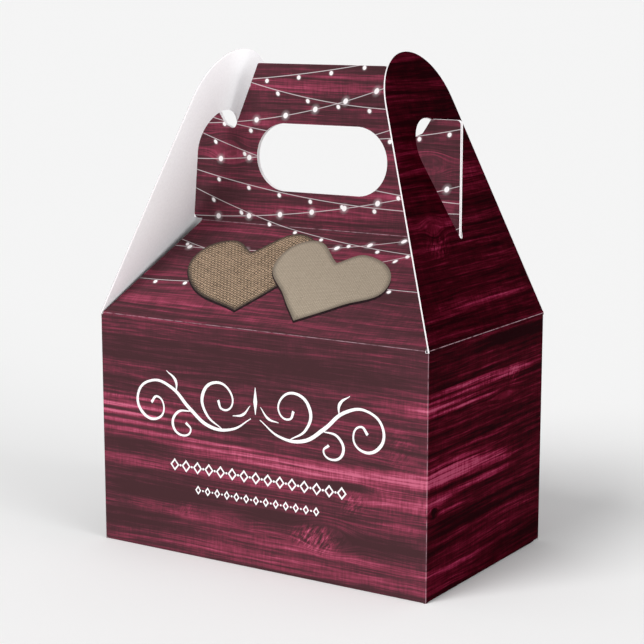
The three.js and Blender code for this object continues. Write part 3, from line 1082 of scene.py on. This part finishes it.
# %% Bottom flaps
def bottom_flap(side, panel, reaches, foot_half, right_half):
    """A bottom flap in its own layer, from its crease inwards. The right half of its outline lists corners
    (x, how far in, r)."""
    name = f"{side}_bottom_flap"
    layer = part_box(name)[0].z / MM
    start = bottom_crease(side, panel, reaches, layer)

    def is_crease(edge):
        """Whether an edge lies where the crease ends."""
        return max(vert.co.y for vert in edge.verts) > SAME_PLACE - start

    has_tongue = side == "front"
    bm = bmesh.new()
    corners = [(x, -INSIDE - inward, radius) for x, inward, radius in right_half]
    rounded_outline(bm, [(foot_half, -start, 0)] + corners)
    fill_flat(bm)
    if has_tongue:
        cut_for_rise(bm)
    flat = fold(panel, layer, QUARTER_TURN)
    thicken(bm, joined=is_crease)
    finish_sides(bm)
    lay_print(bm, flat)
    if has_tongue:
        bend_tongue_up(bm)
    piece = put_in_place(bm, f"{name}_card", flat, CARD_FINISHES)
    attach(piece, "carton")
    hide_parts(name)
    print(name, "lies", round(layer, 2), "mm above the table and starts", round(start, 2), "mm in")


bottom_flap("front", front, (-FRONT_HALF, FRONT_HALF), 48.4, [
    (46, 21, 2), (42, 26, 2), (24, 26, 0), (24, 42, 2), (20, 47, 3),
])
bottom_flap("back", back, (-FRONT_HALF, FRONT_HALF), 49.6, [
    (46, 34, 2), (42, 40, 2), (26, 40, 2), (26, 27, 2),
])
SIDE_FOOT = 28.3
SIDE_FLAP = [(27, 8, 2), (17, 24.5, 3)]
bottom_flap("right", right, (-SIDE_FOOT, SIDE_HALF), SIDE_FOOT, SIDE_FLAP)
bottom_flap("left", left, (-SIDE_HALF, SIDE_FOOT), SIDE_FOOT, SIDE_FLAP)

# %% [markdown]
# ## The cloth hearts
# Two hearts are printed on the front roof, as if cut from cloth: burlap on the left, and pale linen over
# it. They could be drawn in the card's material, but each is a very thin film of ink here, so that its
# outline stays sharp. A Bezier curve through a few points gives the outline, with a corner at the cleft and
# the tip. Burlap and linen are plain weaves: threads go over and under each other, uneven, and dark in the
# gaps.

# %% A plain weave
WEAVE_SHARES = (0.36, 0.14, 0.32)  # of the threads' crowns, of over and under, and of the slubs


def weave_height(tree, point, thread, lean):
    """How high the printed weave stands at each point, for threads that far apart, in millimetres."""
    leaning = add(tree, "Mapping", {"Vector": point, "Rotation": (0, 0, lean)})
    wander = add(tree, "TexNoise", {"Vector": leaning, "Scale": 0.35, "Detail": 3.0})
    x = add(tree, "SeparateXYZ", (leaning,), gives="X")
    y = add(tree, "SeparateXYZ", (leaning,), gives="Y")
    x = add(tree, "Math", (wander, thread * 1.6, x), operation="MULTIPLY_ADD")
    y = add(tree, "Math", (wander, thread * -1.6, y), operation="MULTIPLY_ADD")
    turns = [add(tree, "Math", (item, math.pi / thread), operation="MULTIPLY") for item in (x, y)]
    waves = [add(tree, "Math", (turn,), operation="SINE") for turn in turns]
    over = add(tree, "Math", waves, operation="MULTIPLY")
    crowns = [add(tree, "Math", (wave,), operation="ABSOLUTE") for wave in waves]
    crown = all_together(tree, "ADD", crowns)
    across = streaks(tree, x, y, length=thread * 0.9, height=thread * 9, detail=2, seed=2.0)
    lengthwise = streaks(tree, x, y, length=thread * 9, height=thread * 0.9, detail=2, seed=6.0)
    slub = add(tree, "Math", (across, lengthwise), operation="ADD")
    return all_together(tree, "ADD", [
        add(tree, "Math", (part, share), operation="MULTIPLY")
        for part, share in zip((crown, over, slub), WEAVE_SHARES)
    ])


print("crowns, crossings and slubs add up by", WEAVE_SHARES)

# %% Cloth prints
CLOTH_RELIEF = 0.02  # varnish lies this deep over a printed thread


def woven_print(name, stops, thread, lean, rim_colour, rim_strength):
    """Cloth printed on card, darker towards its rim. Rim is 1 at the outline and 0 further in."""
    material, tree = new_material(name)
    height = weave_height(tree, sheet_point(tree), thread, lean)
    cloth = add(tree, "ValToRGB", (height,), stops=stops)
    rim = add(tree, "Attribute", gives="Fac", attribute_name="rim")
    rim = add(tree, "MapRange", (rim, 1.0, 0.0, 1.0, 0.0), **SMOOTH)
    rim = add(tree, "Math", (rim, rim_strength), operation="MULTIPLY")
    cloth = add(tree, "Mix", {0: rim, 6: cloth, 7: colour(rim_colour)}, gives=2, data_type="RGBA")
    depth = {"Height": height, "Distance": CLOTH_RELIEF * MM, "Strength": 1.0}
    relief = add(tree, "Bump", depth, gives="Normal")
    shader = add(tree, "BsdfPrincipled", {
        "Base Color": cloth, "Roughness": 0.55, "IOR": CARD_IOR, "Specular IOR Level": 0.3,
        "Normal": relief,
    })
    add(tree, "OutputMaterial", {"Surface": shader})
    print(name, "has a thread every", thread, "mm")
    return material


# Burlap is coarse, brown jute. Linen is fine and pale, and its weave hardly shows.
burlap_stops = [(0.5, "#2b2018"), (0.72, "#66543f"), (0.92, "#ae957c")]
burlap_print = woven_print("burlap_print", burlap_stops, 0.68, 0.29, "#231a14", 0.9)
linen_stops = [(0.5, "#857868"), (0.75, "#998c7a"), (1.0, "#aa9d8b")]
linen_print = woven_print("linen_print", linen_stops, 0.5, -0.1, "#4a4036", 0.6)

# %% [markdown]
# ## The inks
# Solid ink goes on as a thin wet layer and dries matt, a little uneven where the card's fibres drink it. A
# near black ink prints the hearts' shadows, and an opaque white prints the ornament on the front.

# %% Inks
def plain_ink(name, blotch, detail, stops, specular):
    """Printing ink with blotches of that size, in millimetres, where it covers the card unevenly."""
    material, tree = new_material(name)
    place = add(tree, "TexCoord", gives="Object")
    cover = add(tree, "TexNoise", {"Vector": place, "Scale": 1 / (blotch * MM), "Detail": detail})
    shade = add(tree, "ValToRGB", (cover,), stops=stops)
    shader = add(tree, "BsdfPrincipled", {
        "Base Color": shade, "Roughness": 0.5, "IOR": CARD_IOR, "Specular IOR Level": specular,
    })
    add(tree, "OutputMaterial", {"Surface": shader})
    print(name, "blotches over", blotch, "mm")
    return material


shadow_ink = plain_ink("near_black_printing_ink", 1.2, 3.0, [(0.3, "#150a0d"), (0.7, "#2b171d")], 0.1)
white_ink = plain_ink("white_printing_ink", 0.5, 2.0, [(0.3, "#f3eef0"), (0.6, "#ffffff")], 0.3)

# %% Films of ink
INK_FILM = 0.02  # far thicker than real ink, so that it can lie clear of the card


def curve_mesh(name, points, corners=(), closed=False, **settings):
    """The mesh of a Bezier curve through points (x, y) or (x, y, radius), smooth but for its corners."""
    curve = bpy.data.curves.new(name, "CURVE")
    for setting, value in settings.items():
        setattr(curve, setting, value)
    spline = curve.splines.new("BEZIER")
    spline.use_cyclic_u = closed
    spline.bezier_points.add(len(points) - 1)
    for i, (knot, (x, y, *radius)) in enumerate(zip(spline.bezier_points, points)):
        knot.co = (x, y, 0)
        knot.radius = radius[0] if radius else 1.0
        knot.handle_left_type = knot.handle_right_type = "VECTOR" if i in corners else "AUTO"
    drawn = bpy.data.objects.new(name, curve)
    mesh = bpy.data.meshes.new_from_object(drawn)
    bpy.data.objects.remove(drawn)
    bpy.data.curves.remove(curve)
    return mesh


def film(name, bm, panel, body, material, lift):
    """A thin closed film of ink on a panel's printed face."""
    lay_print(bm, panel)
    bmesh.ops.translate(bm, verts=bm.verts[:], vec=(0, 0, lift))
    piece = put_in_place(bm, name, panel, [material])
    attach(piece, body)
    print(name, len(piece.data.polygons), "faces")


print("a film of ink is", INK_FILM, "mm thick")

# %% Hearts
# Each heart's outline on the front roof, as (across, up) from its cleft round to the left.
BURLAP_OUTLINE = [
    (-16.4, 27.6), (-24.8, 31.4), (-33.3, 24.6), (-28.6, 14.0),
    (-9.7, 6.0), (-2.4, 15.6), (4.2, 26.6), (-4.4, 36.0),
]
LINEN_OUTLINE = [
    (11.2, 26.5), (-0.2, 33.9), (-7.1, 25.4), (2.0, 12.8),
    (9.3, 4.8), (19.8, 11.6), (29.8, 19.4), (18.6, 30.2),
]
CLEFT, TIP = 0, 4  # the outline's two sharp points
RIM = 1.5  # width of the darker rim


def heart(name, outline, shift, material, lift):
    """A heart cut along a smooth curve through its outline, with corners at its cleft and its tip."""
    mesh = curve_mesh(name, outline, (CLEFT, TIP), True, dimensions="2D", fill_mode="NONE", resolution_u=12)
    bm = bmesh.new()
    bm.from_mesh(mesh)
    bpy.data.meshes.remove(mesh)
    face = bm.faces.new(in_order(bm.verts[:][0]))
    face.normal_update()
    if face.normal.z < 0:
        face.normal_flip()
    rim = bm.verts.layers.float.new("rim")
    for vert in bm.verts:
        vert[rim] = 1.0
    bmesh.ops.inset_region(bm, faces=[face], thickness=RIM, use_even_offset=True, use_boundary=True)
    for vert in face.verts:
        vert[rim] = 0.0
    bmesh.ops.translate(bm, verts=bm.verts[:], vec=(*shift, 0))
    bmesh.ops.triangulate(bm, faces=[face])
    thicken(bm, thickness=-INK_FILM, soften=0)
    film(name, bm, front_roof, "front_roof", material, lift)


heart("burlap_heart_shadow", BURLAP_OUTLINE, (0.25, -0.75), shadow_ink, 0.002)
heart("burlap_heart_print", BURLAP_OUTLINE, (0, 0), burlap_print, 0.03)
heart("linen_heart_shadow", LINEN_OUTLINE, (0.25, -0.8), shadow_ink, 0.058)
heart("linen_heart_print", LINEN_OUTLINE, (0, 0), linen_print, 0.086)

# %% [markdown]
# ## White ink
# The front carries a printed greeting in white ink. A plain pen flourish and two rows of small ornaments
# stand in for the words here. A pen presses harder in the middle of a stroke, so each stroke is a curve
# whose radius swells and thins, pressed flat to a film. The ornaments are circles of four sides, inset to a
# line, with a dot between neighbours.

# %% Pen flourish
# Each stroke lists (across, up, width) on the front panel, for the half on the right.
HALF_STROKES = [
    [(1.4, 40.2, 0.3), (7.4, 36.6, 0.8), (14.6, 36.4, 1.2), (21.0, 40.4, 1.3), (27.0, 45.4, 1.1),
     (33.4, 46.6, 0.8), (38.2, 42.6, 0.9), (36.8, 37.4, 1.1), (31.8, 36.4, 0.8), (29.6, 39.6, 0.6),
     (31.8, 42.4, 0.7), (33.8, 40.6, 1.0)],
    [(10.6, 36.2, 0.3), (15.6, 39.6, 0.9), (16.8, 44.6, 1.2), (12.8, 48.4, 0.9), (8.0, 46.6, 0.7),
     (7.6, 42.6, 0.6), (10.6, 41.6, 0.7), (11.8, 43.8, 1.0)],
    [(20.4, 39.8, 0.3), (25.2, 38.8, 0.9), (26.6, 35.0, 1.0), (23.4, 32.8, 0.7), (20.8, 34.6, 0.6),
     (22.4, 36.4, 0.9)],
    [(25.4, 44.2, 0.2), (25.6, 47.4, 1.1), (28.6, 49.8, 0.2)],
    [(1.6, 43.6, 0.2), (4.0, 40.9, 0.9), (7.2, 40.2, 0.2)],
]
MIDDLE_STROKE = [(0, 48.6, 0.2), (0, 44.8, 1.5), (0, 41.4, 0.2)]
STROKES = [[(side * x, y, width) for x, y, width in stroke] for stroke in HALF_STROKES for side in (-1, 1)]
PEN = 0.4  # half the width of a stroke whose width is 1
TOUCHING = 1e-4  # points closer than this are merged

bm = bmesh.new()
for stroke in STROKES + [MIDDLE_STROKE]:
    mesh = curve_mesh("stroke", stroke, dimensions="3D", bevel_depth=PEN, bevel_resolution=2,
                      resolution_u=10, use_fill_caps=True)
    bm.from_mesh(mesh)
    bpy.data.meshes.remove(mesh)
bmesh.ops.scale(bm, vec=(1, 1, INK_FILM), verts=bm.verts[:])
bmesh.ops.remove_doubles(bm, verts=bm.verts[:], dist=TOUCHING)
film("pen_flourish", bm, front, "carton", white_ink, INK_FILM / 2)

# %% Ornament rows
# Each row is (height, how many, spacing, half width, half height, line width, dot radius).
ORNAMENT_ROWS = [(24.5, 15, 3.75, 1.45, 1.7, 0.42, 0.32), (18.5, 13, 3.1, 0.95, 1.25, 0.36, 0.27)]
ORNAMENT_LIFT = 0.004


def diamond_ring(bm, x, y, half_width, half_height, line):
    """A small diamond outline."""
    place = Matrix.Translation((x, y, 0)) @ Matrix.Diagonal((half_width, half_height, 1, 1))
    ring = bmesh.ops.create_circle(bm, cap_ends=True, segments=4, radius=1, matrix=place)["verts"]
    face = ring[0].link_faces[0]
    face.normal_update()
    bmesh.ops.inset_region(bm, faces=[face], thickness=line, use_even_offset=True, use_boundary=True)
    bmesh.ops.delete(bm, geom=[face], context="FACES_ONLY")


def dot(bm, x, y, radius):
    """A small round dot."""
    place = Matrix.Translation((x, y, 0))
    bmesh.ops.create_circle(bm, cap_ends=True, segments=16, radius=radius, matrix=place)


bm = bmesh.new()
for height, count, spacing, half_width, half_height, line, dot_radius in ORNAMENT_ROWS:
    for i in range(count):
        x = (i - count // 2) * spacing
        diamond_ring(bm, x, height, half_width, half_height, line)
        if i < count - 1:
            dot(bm, x + spacing / 2, height, dot_radius)
bm.normal_update()
bmesh.ops.reverse_faces(bm, faces=[face for face in bm.faces if face.normal.z < 0])
thicken(bm, thickness=-INK_FILM, soften=0)
film("ornament_rows", bm, front, "carton", white_ink, ORNAMENT_LIFT)


# %% [markdown]
# ## The finished box
# The last cell measures the whole box.

# %% Measure and finish
low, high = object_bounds()
print("the box measures", [round((b - a) / MM, 1) for a, b in zip(low, high)], "mm")
